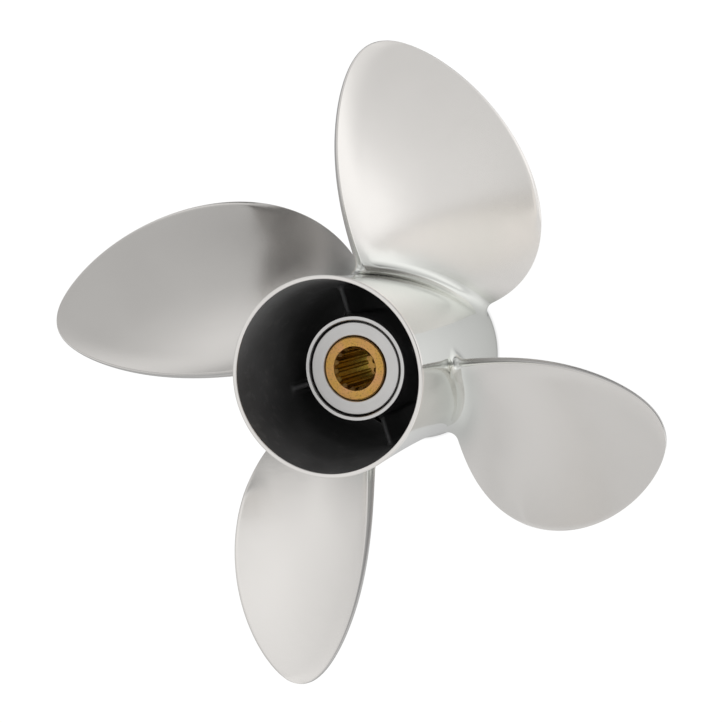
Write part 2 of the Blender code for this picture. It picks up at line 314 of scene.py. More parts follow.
def node(tree, kind, **settings):
    made = tree.nodes.new(kind)
    for name, value in settings.items():
        setattr(made, name, value)
    return made


def feed(tree, socket, value):
    """Link a socket to the input, or set the input to a plain value."""
    if isinstance(value, bpy.types.NodeSocket):
        tree.links.new(value, socket)
    elif value is not None:
        socket.default_value = value


def math_of(tree, operation, a, b=None, c=None):
    made = node(tree, "ShaderNodeMath", operation=operation)
    for socket, value in zip(made.inputs, (a, b, c)):
        feed(tree, socket, value)
    return made.outputs[0]


def map_of(tree, value, low, high, to_low=0.0, to_high=1.0):
    """A smooth change from to_low to to_high as the value goes from low to high."""
    made = node(tree, "ShaderNodeMapRange", interpolation_type="SMOOTHSTEP")
    labels = ("Value", "From Min", "From Max", "To Min", "To Max")
    for label, part in zip(labels, (value, low, high, to_low, to_high)):
        feed(tree, made.inputs[label], part)
    return made.outputs["Result"]


def mix_of(tree, share, a, b):
    made = node(tree, "ShaderNodeMix", data_type="RGBA")
    feed(tree, made.inputs["Factor"], share)
    feed(tree, made.inputs["A"], a)
    feed(tree, made.inputs["B"], b)
    return made.outputs["Result"]


def noise_of(tree, place, scale, detail=3.0, roughness=0.5):
    made = node(tree, "ShaderNodeTexNoise")
    labels = ("Vector", "Scale", "Detail", "Roughness")
    for label, value in zip(labels, (place, scale, detail, roughness)):
        feed(tree, made.inputs[label], value)
    return made.outputs["Fac"]


def object_place(tree):
    """The shaded point in the part's own coordinates, whole and as its X, Y and Z."""
    place = node(tree, "ShaderNodeTexCoord").outputs["Object"]
    parts = node(tree, "ShaderNodeSeparateXYZ")
    tree.links.new(place, parts.inputs[0])
    return place, parts.outputs


def shaft_distance(tree, parts):
    """How far the shaded point lies from the shaft axis."""
    squares = [math_of(tree, "POWER", parts[axis], 2.0) for axis in ("X", "Y")]
    return math_of(tree, "SQRT", math_of(tree, "ADD", *squares))


# Shader groups that several finishes share


def new_group(name, inputs, outputs, kind="ShaderNodeTree"):
    tree = bpy.data.node_groups.new(name, kind)
    for label, sort, value in inputs:
        socket = tree.interface.new_socket(label, in_out="INPUT", socket_type=sort)
        if value is not None:
            socket.default_value = value
    for label, sort in outputs:
        tree.interface.new_socket(label, in_out="OUTPUT", socket_type=sort)
    return tree, node(tree, "NodeGroupInput"), node(tree, "NodeGroupOutput")


def make_mottle_group():
    """Soft cloudy variation, as hand polishing or a sprayed coat leaves it."""
    tree, given, out = new_group(
        "cloudy_variation",
        [("Size", "NodeSocketFloat", 0.02), ("Contrast", "NodeSocketFloat", 1.0)],
        [("Mask", "NodeSocketFloat")],
    )
    place = node(tree, "ShaderNodeTexCoord").outputs["Object"]
    scale = math_of(tree, "DIVIDE", 1.0, given.outputs["Size"])
    cloud = noise_of(tree, place, scale, detail=4.0, roughness=0.55)
    centred = math_of(tree, "SUBTRACT", cloud, 0.5)
    spread = math_of(tree, "MULTIPLY", centred, given.outputs["Contrast"])
    mask = node(tree, "ShaderNodeClamp")
    tree.links.new(math_of(tree, "ADD", spread, 0.5), mask.inputs["Value"])
    tree.links.new(mask.outputs["Result"], out.inputs["Mask"])
    return tree


def make_turning_group():
    """Fine rings round the shaft axis, as a lathe tool leaves them on a turned face."""
    tree, given, out = new_group(
        "turning_marks",
        [("Spacing", "NodeSocketFloat", 0.0004)],
        [("Mask", "NodeSocketFloat")],
    )
    place, parts = object_place(tree)
    along = node(tree, "ShaderNodeCombineXYZ")
    for axis, value in (("X", shaft_distance(tree, parts)), ("Y", parts["Z"])):
        tree.links.new(math_of(tree, "DIVIDE", value, given.outputs["Spacing"]), along.inputs[axis])
    drift = noise_of(tree, place, RING_DRIFT_SCALE, detail=1.0)
    tree.links.new(drift, along.inputs["Z"])
    rings = noise_of(tree, along.outputs[0], 1.0, detail=2.0, roughness=0.6)
    tree.links.new(rings, out.inputs["Mask"])
    return tree


def use_group(tree, group, **values):
    made = node(tree, "ShaderNodeGroup", node_tree=group)
    for name, value in values.items():
        made.inputs[name].default_value = value
    return made.outputs["Mask"]


# Finishes


def new_material(name, metallic):
    material = bpy.data.materials.new(name)
    material.use_nodes = True
    shader = material.node_tree.nodes["Principled BSDF"]
    shader.inputs["Metallic"].default_value = metallic
    return material, material.node_tree, shader


def add_bump(tree, shader, height, distance):
    bump = node(tree, "ShaderNodeBump")
    bump.inputs["Distance"].default_value = distance
    bump.inputs["Strength"].default_value = 1.0
    tree.links.new(height, bump.inputs["Height"])
    tree.links.new(bump.outputs["Normal"], shader.inputs["Normal"])


def over_mask(tree, mask, span):
    """A value that goes from the first to the second of the span as the mask rises."""
    return map_of(tree, mask, *MASK_SPAN, *span)


def make_polished_steel(groups):
    material, tree, shader = new_material("polished_stainless_steel", 1.0)
    _, parts = object_place(tree)
    radius = shaft_distance(tree, parts)
    haze = use_group(tree, groups["mottle"], Size=BLADE_HAZE_SIZE, Contrast=1.4)
    wave = use_group(tree, groups["mottle"], Size=BLADE_WAVE_SIZE, Contrast=1.0)
    blade_tint = mix_of(tree, haze, BLADE_DULL, BLADE_BRIGHT)
    near_hub = map_of(tree, radius, ROOT_RADIUS, SATIN_RADIUS, 1.0, 0.0)
    rim_start, rim_end = (BARREL_LENGTH - depth for depth in RIM_POLISH)
    below_rim = map_of(tree, parts["Z"], rim_start, rim_end, HUB_STEEL_SHARE, 0.0)
    tint = mix_of(tree, math_of(tree, "MULTIPLY", near_hub, below_rim), blade_tint, HUB_STEEL)
    ground = node(tree, "ShaderNodeAttribute", attribute_name=GROUND_EDGE).outputs["Fac"]
    feed(tree, shader.inputs["Base Color"], mix_of(tree, ground, tint, GROUND_STEEL))
    satin = map_of(tree, radius, ROOT_RADIUS, SATIN_RADIUS, 0.0, SATIN_EXTRA)
    gloss = math_of(tree, "ADD", satin, over_mask(tree, haze, BLADE_ROUGHNESS))
    feed(tree, shader.inputs["Roughness"], math_of(tree, "MULTIPLY_ADD", ground, GROUND_EXTRA, gloss))
    add_bump(tree, shader, wave, BLADE_WAVE_DEPTH)
    return material


def make_exhaust_coat(groups):
    """Black paint with the fine peel of a spray gun, sooty and rubbed in places, and lighter on one side near
    the mouth, where a painted sheen stands in for a glint of the tent.
    """
    material, tree, shader = new_material("exhaust_coat_black", 0.0)
    cloud = use_group(tree, groups["mottle"], Size=COAT_CLOUD_SIZE, Contrast=1.8)
    place = node(tree, "ShaderNodeTexCoord").outputs["Object"]
    scuffs = noise_of(tree, place, RUB_SCALE, detail=5.0, roughness=0.7)
    coat = mix_of(tree, cloud, COAT_BLACK, COAT_SOOTY)
    clean = mix_of(tree, map_of(tree, scuffs, *RUB_SPAN, 0.0, RUB_MOST), coat, COAT_RUBBED)
    # Painted sheen: the coat turns lighter towards one side near the mouth, as if a bright patch of the tent
    # glinted on it
    towards = node(tree, "ShaderNodeVectorMath", operation="DOT_PRODUCT")
    tree.links.new(place, towards.inputs[0])
    towards.inputs[1].default_value = direction(*PAINTED_SHEEN_SIDE)
    painted_sheen = map_of(tree, towards.outputs["Value"], *PAINTED_SHEEN_REACH)
    feed(tree, shader.inputs["Base Color"], mix_of(tree, painted_sheen, clean, COAT_PAINTED_SHEEN))
    feed(tree, shader.inputs["Roughness"], over_mask(tree, cloud, COAT_ROUGHNESS))
    add_bump(tree, shader, noise_of(tree, place, COAT_PEEL_SCALE, detail=2.0), COAT_PEEL_DEPTH)
    return material


def make_turned_steel(groups, name, dull, bright, roughness, spacing):
    material, tree, shader = new_material(name, 1.0)
    rings = use_group(tree, groups["turning"], Spacing=spacing)
    haze = use_group(tree, groups["mottle"], Size=TURNED_HAZE_SIZE, Contrast=1.2)
    mean = math_of(tree, "MULTIPLY", math_of(tree, "ADD", rings, haze), 0.5)
    feed(tree, shader.inputs["Base Color"], mix_of(tree, mean, dull, bright))
    feed(tree, shader.inputs["Roughness"], over_mask(tree, rings, roughness))
    add_bump(tree, shader, rings, TURNED_DEPTH)
    return material


def make_rubber(groups):
    material, tree, shader = new_material("black_rubber_finish", 0.0)
    bloom = use_group(tree, groups["mottle"], Size=RUBBER_BLOOM_SIZE, Contrast=1.5)
    feed(tree, shader.inputs["Base Color"], mix_of(tree, bloom, RUBBER_BLACK, RUBBER_BLOOM))
    feed(tree, shader.inputs["Roughness"], over_mask(tree, bloom, RUBBER_ROUGHNESS))
    add_bump(tree, shader, bloom, RUBBER_DEPTH)
    return material


def make_brass(groups):
    """Turned brass with casting pits, copper-pink blushes, and a tarnished bore."""
    material, tree, shader = new_material("turned_brass", 1.0)
    shader.inputs["Specular Tint"].default_value = BRASS_GRAZING_TINT
    place, parts = object_place(tree)
    radius = shaft_distance(tree, parts)
    rings = use_group(tree, groups["turning"], Spacing=BRASS_SPACING)
    blush = use_group(tree, groups["mottle"], Size=BLUSH_SIZE, Contrast=3.0)
    pits = map_of(tree, noise_of(tree, place, PIT_SCALE), *PIT_SPAN)
    gold = mix_of(tree, blush, BRASS_GOLD, BRASS_BLUSH)
    pitted = mix_of(tree, pits, gold, BRASS_PIT)
    full, faint = (SLEEVE_AFT - depth for depth in TARNISH_DEPTHS)
    deep = map_of(tree, parts["Z"], full, faint, 1.0, TARNISH_AT_END)
    inside = map_of(tree, radius, SPLINE_ROOT_RADIUS, SPLINE_ROOT_RADIUS + TARNISH_FADE, 1.0, 0.0)
    tarnish = math_of(tree, "MULTIPLY", inside, deep)
    feed(tree, shader.inputs["Base Color"], mix_of(tree, tarnish, pitted, BRASS_TARNISH))
    grain = over_mask(tree, rings, BRASS_ROUGHNESS)
    feed(tree, shader.inputs["Roughness"], math_of(tree, "MULTIPLY_ADD", tarnish, TARNISH_SMOOTHER, grain))
    add_bump(tree, shader, math_of(tree, "SUBTRACT", rings, pits), BRASS_DEPTH)
    return material


# Mesh helpers


def add_object(name, data):
    made = bpy.data.objects.new(name, data)
    bpy.context.scene.collection.objects.link(made)
    return made


def mesh_of(name, bm, materials):
    """A mesh from a closed bmesh, with its faces pointing outwards."""
    bmesh.ops.recalc_face_normals(bm, faces=bm.faces)
    mesh = bpy.data.meshes.new(name)
    bm.to_mesh(mesh)
    bm.free()
    for material in materials:
        mesh.materials.append(material)
    return mesh


def soften(piece):
    """Smooth shading, apart from the sharp edges."""
    piece.data.shade_smooth()
    piece.data.set_sharp_from_angle(angle=SHARP_ANGLE)
    return piece


def bridge(bm, low, high, slot=METAL):
    """Fill the band between two closed loops of as many corners."""
    count = len(low)
    for i in range(count):
        j = (i + 1) % count
        face = bm.faces.new((low[i], low[j], high[j], high[i]))
        face.material_index = slot


def close_across(bm, ring, middle):
    """Close a ring with short strips from side to side, starting at its corner number middle."""
    bm.faces.new((ring[middle], ring[middle + 1], ring[middle - 1]))
    for i in range(1, len(ring) // 2):
        after = [ring[(middle + j) % len(ring)] for j in (i, i + 1)]
        bm.faces.new((*after, ring[middle - i - 1], ring[middle - i]))


def turned(name, outline, steps, materials):
    """Turn a closed outline of (radius, height, material of the stretch that starts there) round Z."""
    bm = bmesh.new()
    loops = []
    for radius, height, _ in outline:
        loops.append([bm.verts.new(polar(radius, 2 * math.pi * i / steps, height)) for i in range(steps)])
    for index, (_, _, slot) in enumerate(outline):
        bridge(bm, loops[index], loops[(index + 1) % len(loops)], slot)
    return soften(add_object(name, mesh_of(name, bm, materials)))


def arc(centre_radius, centre_height, size, start, steps):
    """A quarter round in an outline, from an angle in degrees, counted from the outward direction."""
    points = []
    for i in range(steps + 1):
        angle = (start + 90 * i / steps) * DEG
        points.append((centre_radius + size * math.cos(angle), centre_height + size * math.sin(angle), METAL))
    return points


# Barrel


def outer_radius(height):
    if height < WAIST_HEIGHT:
        return between(WAIST_RADIUS, RIM_RADIUS, (1 - height / WAIST_HEIGHT) ** FORWARD_FLARE)
    share = (height - WAIST_HEIGHT) / (BARREL_LENGTH - WAIST_HEIGHT)
    return between(WAIST_RADIUS, RIM_RADIUS, share**AFT_FLARE)


def inner_radius(height):
    if height < FRONT_RECESS_DEPTH:
        return between(THROAT_RADIUS, FRONT_RECESS_RADIUS, 1 - height / FRONT_RECESS_DEPTH)
    share = max(0.0, (height - BARREL_LENGTH + MOUTH_DEPTH) / MOUTH_DEPTH)
    return between(THROAT_RADIUS, MOUTH_RADIUS, share**MOUTH_FLARE)


def make_barrel(steel, coat):
    top = BARREL_LENGTH - RIM_ROUND
    outline = arc(RIM_RADIUS - RIM_ROUND, RIM_ROUND, RIM_ROUND, -90, LIP_STEPS)
    outside = [between(RIM_ROUND, top, i / OUTSIDE_STEPS) for i in range(1, OUTSIDE_STEPS)]
    outline += [(outer_radius(height), height, METAL) for height in outside]
    outline += arc(RIM_RADIUS - RIM_ROUND, top, RIM_ROUND, 0, LIP_STEPS)
    outline += arc(MOUTH_RADIUS + RIM_ROUND, top, RIM_ROUND, 90, LIP_STEPS)
    outline[-1] = (*outline[-1][:2], COAT)
    inside = [between(FRONT_RECESS_DEPTH, top, i / INSIDE_STEPS) for i in range(INSIDE_STEPS)]
    outline += [(inner_radius(height), height, COAT) for height in reversed(inside)]
    outline += arc(FRONT_RECESS_RADIUS + RIM_ROUND, RIM_ROUND, RIM_ROUND, 180, LIP_STEPS)
    return turned("barrel_form", outline, BARREL_STEPS, [steel, coat])


# Blades


def span_share(radius):
    return (radius - ROOT_RADIUS) / (TIP_RADIUS - ROOT_RADIUS)


def pitch_slope(radius):
    return math.atan(PITCH / (2 * math.pi * radius))


def rake(radius):
    share = span_share(radius)
    return (TIP_RADIUS - ROOT_RADIUS) * (RAKE * share + RAKE_CURVE * share**2)


def edge_angles(radius):
    """Angles of the leading and the trailing edge, from the blade's own middle line."""
    share = span_share(radius)
    middle = (SKEW[0] * share + SKEW[1] * share**2) * DEG
    width = sum(part * share**power for power, part in enumerate(HALF_WIDTH))
    half = math.sqrt(max(0.0, 1 - share)) * width * DEG
    return middle - half, middle + half


def section(radius):
    """The blade's section at a radius, flattened out, as corners (along, across).
    Along runs from the leading to the trailing edge, across from the pressure to the suction face."""
    slope = pitch_slope(radius)
    span = max(0.0, span_share(radius))
    leading, trailing = edge_angles(radius)
    edge = between(TRAILING_EDGE_ROOT, TRAILING_EDGE_TIP, span)
    middle = between(ROOT_THICKNESS, TIP_THICKNESS, span)
    roll = min(NOSE_ROLL, NOSE_ROLL_SHARE * middle) * (1 - NOSE_FADE * smooth_step(span, *NOSE_FADE_SHARES))
    start = leading * radius / math.cos(slope) - roll * math.tan(slope)
    end = trailing * radius / math.cos(slope) - edge * math.tan(slope)
    chord = end - start
    nose = min(LEADING_EDGE, chord / 3) / 2
    fullness = min(1.0, chord / TAPER_CHORD)
    bevel = min(EDGE_ROUND * edge, chord / 3)
    run = between(NOSE_RUN_ROOT, NOSE_RUN_OUTER, smooth_step(span, *NOSE_RUN_SHARES))
    hollow = between(HOLLOW_ROOT, HOLLOW_TIP, span) * chord

    def near_nose(share):
        """One at the leading edge, and nought from the end of the roll onwards."""
        return max(0.0, 1 - share * chord / run)

    def face(share):
        cupped = max(0.0, 1 + (share - 1) * chord / CUP_WIDTH) ** 2
        bowed = 4 * share * (1 - share) * (1 + HOLLOW_LEAD * (1 - 2 * share))
        return (roll * near_nose(share) ** 2 - CUP_DEPTH * cupped + hollow * bowed) * fullness

    def back(share):
        plain = between(2 * nose, edge, share)
        swell = 0.0
        if 0 < share < 1:
            swell = math.sin(math.pi * share**SWELL_FORWARD) ** SWELL_FULLNESS
        thinned = roll * (near_nose(share) ** 2 - near_nose(share) ** 4)
        return face(share) + plain + (max(0.0, middle - plain) * swell - thinned) * fullness

    first = nose / chord
    last = 1 - bevel / chord
    steps = [0.5 - 0.5 * math.cos(math.pi * i / CHORD_STEPS) for i in range(CHORD_STEPS + 1)]
    shares = [between(first, last, step) for step in steps]
    corners = []
    for i in range(NOSE_STEPS - 1, 0, -1):
        turn = math.pi * i / NOSE_STEPS
        corners.append((start + nose - nose * math.sin(turn), face(first) + nose - nose * math.cos(turn)))
    corners += [(start + share * chord, face(share)) for share in shares]
    for centre, from_angle in ((face(last) + bevel, -90), (back(last) - bevel, 0)):
        for i in range(1, CORNER_STEPS):
            turn = (from_angle + 90 * i / CORNER_STEPS) * DEG
            corners.append((end - bevel + bevel * math.cos(turn), centre + bevel * math.sin(turn)))
    corners += [(start + share * chord, back(share)) for share in reversed(shares)]
    return corners


def outward_directions(corners):
    """The direction away from the section at each corner, from its neighbours."""
    directions = []
    for before, after in zip(corners[-1:] + corners[:-1], corners[1:] + corners[:1]):
        run = Vector((after[0] - before[0], after[1] - before[1])).normalized()
        directions.append(Vector((run.y, -run.x)))
    return directions


def blade_height(radius, along, across):
    slope = pitch_slope(radius)
    return ROOT_MIDDLE_HEIGHT + rake(radius) + along * math.sin(slope) - across * math.cos(slope)


def flare_above_rim(radius, along, across, away, flare):
    """How far the root fillet may stand out at a corner without reaching below the barrel's front rim."""
    slope = pitch_slope(radius)
    rise = away.x * math.sin(slope) - away.y * math.cos(slope)
    spare = blade_height(radius, along, across) - FILLET_LEVEL
    if rise >= 0 or spare >= -rise * flare:
        return flare
    return max(0.0, spare / -rise)


def seat_on_barrel(radius, above, along, across, hold):
    """Radius of a root corner that lies that far above the barrel's own surface there."""
    found = radius
    for _ in range(SEAT_ROUNDS):
        height = blade_height(found, along, across)
        found = between(radius, outer_radius(height) + above, hold)
    return found


def fillet_loop(turn, sink):
    """The blade's corners in its root fillet: a turn of a right angle is where the fillet meets the barrel's
    surface, and none is where it runs out into the blade."""
    above = ROOT_FILLET * (1 - math.sin(turn)) - sink
    flare = ROOT_FILLET * (1 - math.cos(turn))
    radius = WAIST_RADIUS + above
    corners = section(radius)
    loop = []
    for (along, across), away in zip(corners, outward_directions(corners)):
        reach = flare_above_rim(radius, along, across, away, flare)
        along += away.x * reach
        across += away.y * reach
        loop.append((along, across, seat_on_barrel(radius, above, along, across, 1.0)))
    return loop


def flat_blade_mesh(steel):
    """The blade flattened out: X along the pitch line, Y across it, Z the radius."""
    turns = [math.pi / 2 * (FILLET_STEPS - i) / FILLET_STEPS for i in range(FILLET_STEPS + 1)]
    loops = [fillet_loop(math.pi / 2, SINK)]
    loops += [fillet_loop(turn, 0.0) for turn in turns]
    first = span_share(WAIST_RADIUS + ROOT_FILLET)
    for i in range(1, SPAN_STEPS + 1):
        way = between(1 - math.sqrt(1 - first), TIP_END, i / SPAN_STEPS)
        share = 1 - (1 - way) ** 2
        radius = between(ROOT_RADIUS, TIP_RADIUS, share)
        above = radius - WAIST_RADIUS
        hold = max(0.0, 1 - (share - first) / SEAT_SHARE) ** 2
        corners = section(radius)
        loops.append([(*corner, seat_on_barrel(radius, above, *corner, hold)) for corner in corners])
    bm = bmesh.new()
    ground = bm.verts.layers.float.new(GROUND_EDGE)
    rings = [[bm.verts.new(corner) for corner in loop] for loop in loops]
    edge_start = NOSE_STEPS + CHORD_STEPS
    edge_end = edge_start + 2 * CORNER_STEPS
    for ring in rings:
        for corner in ring[edge_start + GROUND_MARGIN : edge_end - GROUND_MARGIN]:
            corner[ground] = smooth_step(corner.co.z, *GROUND_FADE)
    for low, high in zip(rings, rings[1:]):
        bridge(bm, low, high)
    for ring in (rings[0], rings[-1]):
        close_across(bm, ring, NOSE_STEPS // 2 - 1)
    return mesh_of("flat_blade", bm, [steel])


def finish_tree(tree, shape, finish, out):
    """End a geometry node tree: its shape becomes real and gets the finish."""
    real = node(tree, "GeometryNodeRealizeInstances")
    tree.links.new(shape, real.inputs[0])
    wear = node(tree, "GeometryNodeSetMaterial")
    tree.links.new(real.outputs[0], wear.inputs["Geometry"])
    tree.links.new(finish, wear.inputs["Material"])
    tree.links.new(wear.outputs[0], out.inputs["Geometry"])


def make_screw_tree():
    """Geometry nodes that wrap a flattened blade round the shaft along its pitch."""
    tree, given, out = new_group(
        "screw_wrap",
        [
            ("Geometry", "NodeSocketGeometry", None),
            ("Pitch", "NodeSocketFloat", PITCH),
            ("Turn", "NodeSocketFloat", 0.0),
            ("Root Radius", "NodeSocketFloat", ROOT_RADIUS),
            ("Span", "NodeSocketFloat", TIP_RADIUS - ROOT_RADIUS),
            ("Root Height", "NodeSocketFloat", ROOT_MIDDLE_HEIGHT),
            ("Rake", "NodeSocketFloat", RAKE),
            ("Rake Curve", "NodeSocketFloat", RAKE_CURVE),
            ("Finish", "NodeSocketMaterial", None),
        ],
        [("Geometry", "NodeSocketGeometry")],
        kind="GeometryNodeTree",
    )
    value = given.outputs
    parts = node(tree, "ShaderNodeSeparateXYZ")
    tree.links.new(node(tree, "GeometryNodeInputPosition").outputs[0], parts.inputs[0])
    along, across, radius = parts.outputs
    slope = math_of(tree, "ARCTAN2", value["Pitch"], math_of(tree, "MULTIPLY", radius, 2 * math.pi))
    rise = math_of(tree, "SINE", slope)
    run = math_of(tree, "COSINE", slope)
    sideways = math_of(tree, "MULTIPLY_ADD", along, run, math_of(tree, "MULTIPLY", across, rise))
    angle = math_of(tree, "ADD", math_of(tree, "DIVIDE", sideways, radius), value["Turn"])
    share = math_of(tree, "DIVIDE", math_of(tree, "SUBTRACT", radius, value["Root Radius"]), value["Span"])
    lean = math_of(tree, "MULTIPLY_ADD", share, value["Rake Curve"], value["Rake"])
    raked = math_of(tree, "MULTIPLY", math_of(tree, "MULTIPLY", lean, share), value["Span"])
    drop = math_of(tree, "MULTIPLY", across, run)
    climb = math_of(tree, "SUBTRACT", math_of(tree, "MULTIPLY", along, rise), drop)
    height = math_of(tree, "ADD", math_of(tree, "ADD", climb, raked), value["Root Height"])
    place = node(tree, "ShaderNodeCombineXYZ")
    tree.links.new(math_of(tree, "MULTIPLY", radius, math_of(tree, "COSINE", angle)), place.inputs["X"])
    tree.links.new(math_of(tree, "MULTIPLY", radius, math_of(tree, "SINE", angle)), place.inputs["Y"])
    tree.links.new(height, place.inputs["Z"])
    move = node(tree, "GeometryNodeSetPosition")
    tree.links.new(value["Geometry"], move.inputs["Geometry"])
    tree.links.new(place.outputs[0], move.inputs["Position"])
    finish_tree(tree, move.outputs[0], value["Finish"], out)
    return tree


def run_nodes(name, mesh, tree, values):
    """Evaluate a geometry node tree on a mesh and return the result as a plain piece."""
    carrier = add_object(name + "_carrier", mesh)
    modifier = carrier.modifiers.new("nodes", "NODES")
    modifier.node_group = tree
    for item in tree.interface.items_tree:
        if item.item_type == "SOCKET" and item.in_out == "INPUT" and item.name in values:
            modifier[item.identifier] = values[item.name]
    graph = bpy.context.evaluated_depsgraph_get()
    result = bpy.data.meshes.new_from_object(carrier.evaluated_get(graph))
    bpy.data.objects.remove(carrier)
    result.name = name
    return add_object(name, result)


def make_blades(steel):
    flat = flat_blade_mesh(steel)
    tree = make_screw_tree()
    blades = []
    for number in range(BLADE_COUNT):
        turn = FIRST_BLADE_ANGLE + number * 2 * math.pi / BLADE_COUNT
        blade = run_nodes(f"blade_form_{number + 1}", flat.copy(), tree, {"Turn": turn, "Finish": steel})
        bm = bmesh.new()
        bm.from_mesh(blade.data)
        bmesh.ops.recalc_face_normals(bm, faces=bm.faces)
        bm.to_mesh(blade.data)
        bm.free()
        blades.append(soften(blade))
    return blades


# Inside the barrel


def make_ring_tree():
    """Geometry nodes that set copies of a shape, made at +X, at equal angles round the shaft."""
    tree, given, out = new_group(
        "copies_round_shaft",
        [
            ("Geometry", "NodeSocketGeometry", None),
            ("Count", "NodeSocketInt", 1),
            ("First Angle", "NodeSocketFloat", 0.0),
            ("Finish", "NodeSocketMaterial", None),
        ],
        [("Geometry", "NodeSocketGeometry")],
        kind="GeometryNodeTree",
    )
    value = given.outputs
    points = node(tree, "GeometryNodePoints")
    tree.links.new(value["Count"], points.inputs["Count"])
    number = node(tree, "GeometryNodeInputIndex").outputs[0]
    step = math_of(tree, "DIVIDE", 2 * math.pi, value["Count"])
    angle = math_of(tree, "MULTIPLY_ADD", number, step, value["First Angle"])
    turn = node(tree, "ShaderNodeCombineXYZ")
    tree.links.new(angle, turn.inputs["Z"])
    copies = node(tree, "GeometryNodeInstanceOnPoints")
    tree.links.new(points.outputs[0], copies.inputs["Points"])
    tree.links.new(value["Geometry"], copies.inputs["Instance"])
    tree.links.new(turn.outputs[0], copies.inputs["Rotation"])
    finish_tree(tree, copies.outputs[0], value["Finish"], out)
    return tree


def rib_outline():
    """The rib's outline across its own plane, as (side, height, outward side, outward height)."""
    half = RIB_THICKNESS / 2
    outline = []
    for centre, start, side in ((RIB_AFT - half, 0.0, -half), (RIB_FORWARD + half, math.pi, half)):
        for i in range(RIB_EDGE_STEPS + 1):
            turn = start + math.pi * i / RIB_EDGE_STEPS
            outward = (math.cos(turn), math.sin(turn))
            outline.append((half * outward[0], centre + half * outward[1], *outward))
        run = math.copysign(RIB_AFT - RIB_FORWARD - 2 * half, side)
        for i in range(1, RIB_SIDE_STEPS):
            outline.append((side, centre + run * i / RIB_SIDE_STEPS, math.copysign(1.0, side), 0.0))
    return outline


def rib_mesh(coat):
    """A web with rounded edges at +X, with fillets where it meets the tube and the barrel's wall."""
    turns = [math.pi / 2 * (1 - i / RIB_EDGE_STEPS) for i in range(RIB_EDGE_STEPS + 1)]
    stations = [(-SINK, RIB_FILLET)]
    stations += [(RIB_FILLET * (1 - math.sin(turn)), RIB_FILLET * (1 - math.cos(turn))) for turn in turns]
    bm = bmesh.new()
    rings = []
    for wall_side, ordered in ((False, stations), (True, stations[::-1])):
        for above, flare in ordered:
            ring = []
            for side, height, out_side, out_height in rib_outline():
                side += out_side * flare
                height += out_height * flare
                base = inner_radius(height) if wall_side else TUBE_RADIUS
                radial = math.sqrt(base**2 - side**2) + (-above if wall_side else above)
                ring.append(bm.verts.new((radial, side, height)))
            rings.append(ring)
    for low, high in zip(rings, rings[1:]):
        bridge(bm, low, high)
    for ring in (rings[0], rings[-1]):
        bm.faces.new(ring)
    return mesh_of("rib_web", bm, [coat])


def make_ribs(coat, ring_tree):
    web = rib_mesh(coat)
    ribs = []
    for number in range(RIB_COUNT):
        angle = FIRST_RIB_ANGLE + number * 2 * math.pi / RIB_COUNT
        settings = {"Count": 1, "First Angle": angle, "Finish": coat}
        ribs.append(soften(run_nodes(f"rib_form_{number + 1}", web.copy(), ring_tree, settings)))
    return ribs


def make_hub_tube(steel, coat):
    """The inner hub tube: coated outside, and machined at its ends and in its bore."""
    shoulder = TUBE_FORWARD + SHOULDER_DEPTH
    cut = TUBE_CHAMFER
    outline = [
        (TUBE_RADIUS - cut, TUBE_FORWARD, METAL),
        (TUBE_RADIUS, TUBE_FORWARD + cut, COAT),
        (TUBE_RADIUS, TUBE_AFT - BARE_BAND, METAL),
        (TUBE_RADIUS - BARE_TAPER, TUBE_AFT - cut, METAL),
        (TUBE_RADIUS - cut, TUBE_AFT, METAL),
        (TUBE_BORE + cut, TUBE_AFT, METAL),
        (TUBE_BORE, TUBE_AFT - cut, METAL),
        (TUBE_BORE, shoulder, METAL),
        (SHOULDER_BORE, shoulder, METAL),
        (SHOULDER_BORE, TUBE_FORWARD + cut, METAL),
        (SHOULDER_BORE + cut, TUBE_FORWARD, METAL),
    ]
    return turned("hub_tube_form", outline, TUBE_STEPS, [steel, coat])


def make_end_ring(steel):
    top = SLEEVE_AFT - RING_RECESS
    bottom = top - RING_THICKNESS
    outline = [
        (RING_RADIUS, bottom, METAL),
        (RING_RADIUS, top - RING_CHAMFER, METAL),
        (RING_RADIUS - RING_CHAMFER, top, METAL),
        (RING_BORE + RING_CHAMFER, top, METAL),
        (RING_BORE, top - RING_CHAMFER, METAL),
        (RING_BORE, bottom, METAL),
    ]
    return turned("end_ring_form", outline, TUBE_STEPS, [steel])


def make_bushing(rubber):
    """The moulded rubber between the tube and the sleeve, with rounded ends."""
    size = RUBBER_ROUND
    bottom = TUBE_FORWARD + SHOULDER_DEPTH + GAP + size
    top = SLEEVE_AFT - RING_RECESS - RING_THICKNESS - GAP - size
    inner = SLEEVE_RADIUS + GAP + size
    outer = TUBE_BORE - GAP - size
    centres = ((outer, bottom), (outer, top), (inner, top), (inner, bottom))
    outline = []
    for start, (radius, height) in zip((-90, 0, 90, 180), centres):
        outline += arc(radius, height, size, start, RUBBER_STEPS)
    return turned("bushing_form", outline, TUBE_STEPS, [rubber])


def tooth_mesh(brass):
    """One rounded spline tooth at +X, along the bore, with ends that slope back from the root circle."""
    height = SPLINE_ROOT_RADIUS - SPLINE_TIP_RADIUS
    profile = [(-TOOTH_HALF_WIDTH, -SINK)]
    for i in range(TOOTH_STEPS + 1):
        turn = math.pi * (1 - i / TOOTH_STEPS)
        side = math.copysign(abs(math.cos(turn)) ** TOOTH_FLANK, math.cos(turn)) * TOOTH_HALF_WIDTH
        profile.append((side, height * max(0.0, math.sin(turn)) ** TOOTH_CROWN))
    profile.append((TOOTH_HALF_WIDTH, -SINK))
    bm = bmesh.new()
    ends = []
    for end, slope in ((SLEEVE_AFT - BORE_CHAMFER, -1), (SPLINE_FORWARD, 1)):
        loop = []
        for side, rise in profile:
            radial = math.sqrt(SPLINE_ROOT_RADIUS**2 - side**2) - rise
            loop.append(bm.verts.new((radial, side, end + slope * max(0.0, rise))))
        ends.append(loop)
    bridge(bm, *ends)
    for loop in ends:
        bm.faces.new(loop)
    return mesh_of("spline_tooth", bm, [brass])


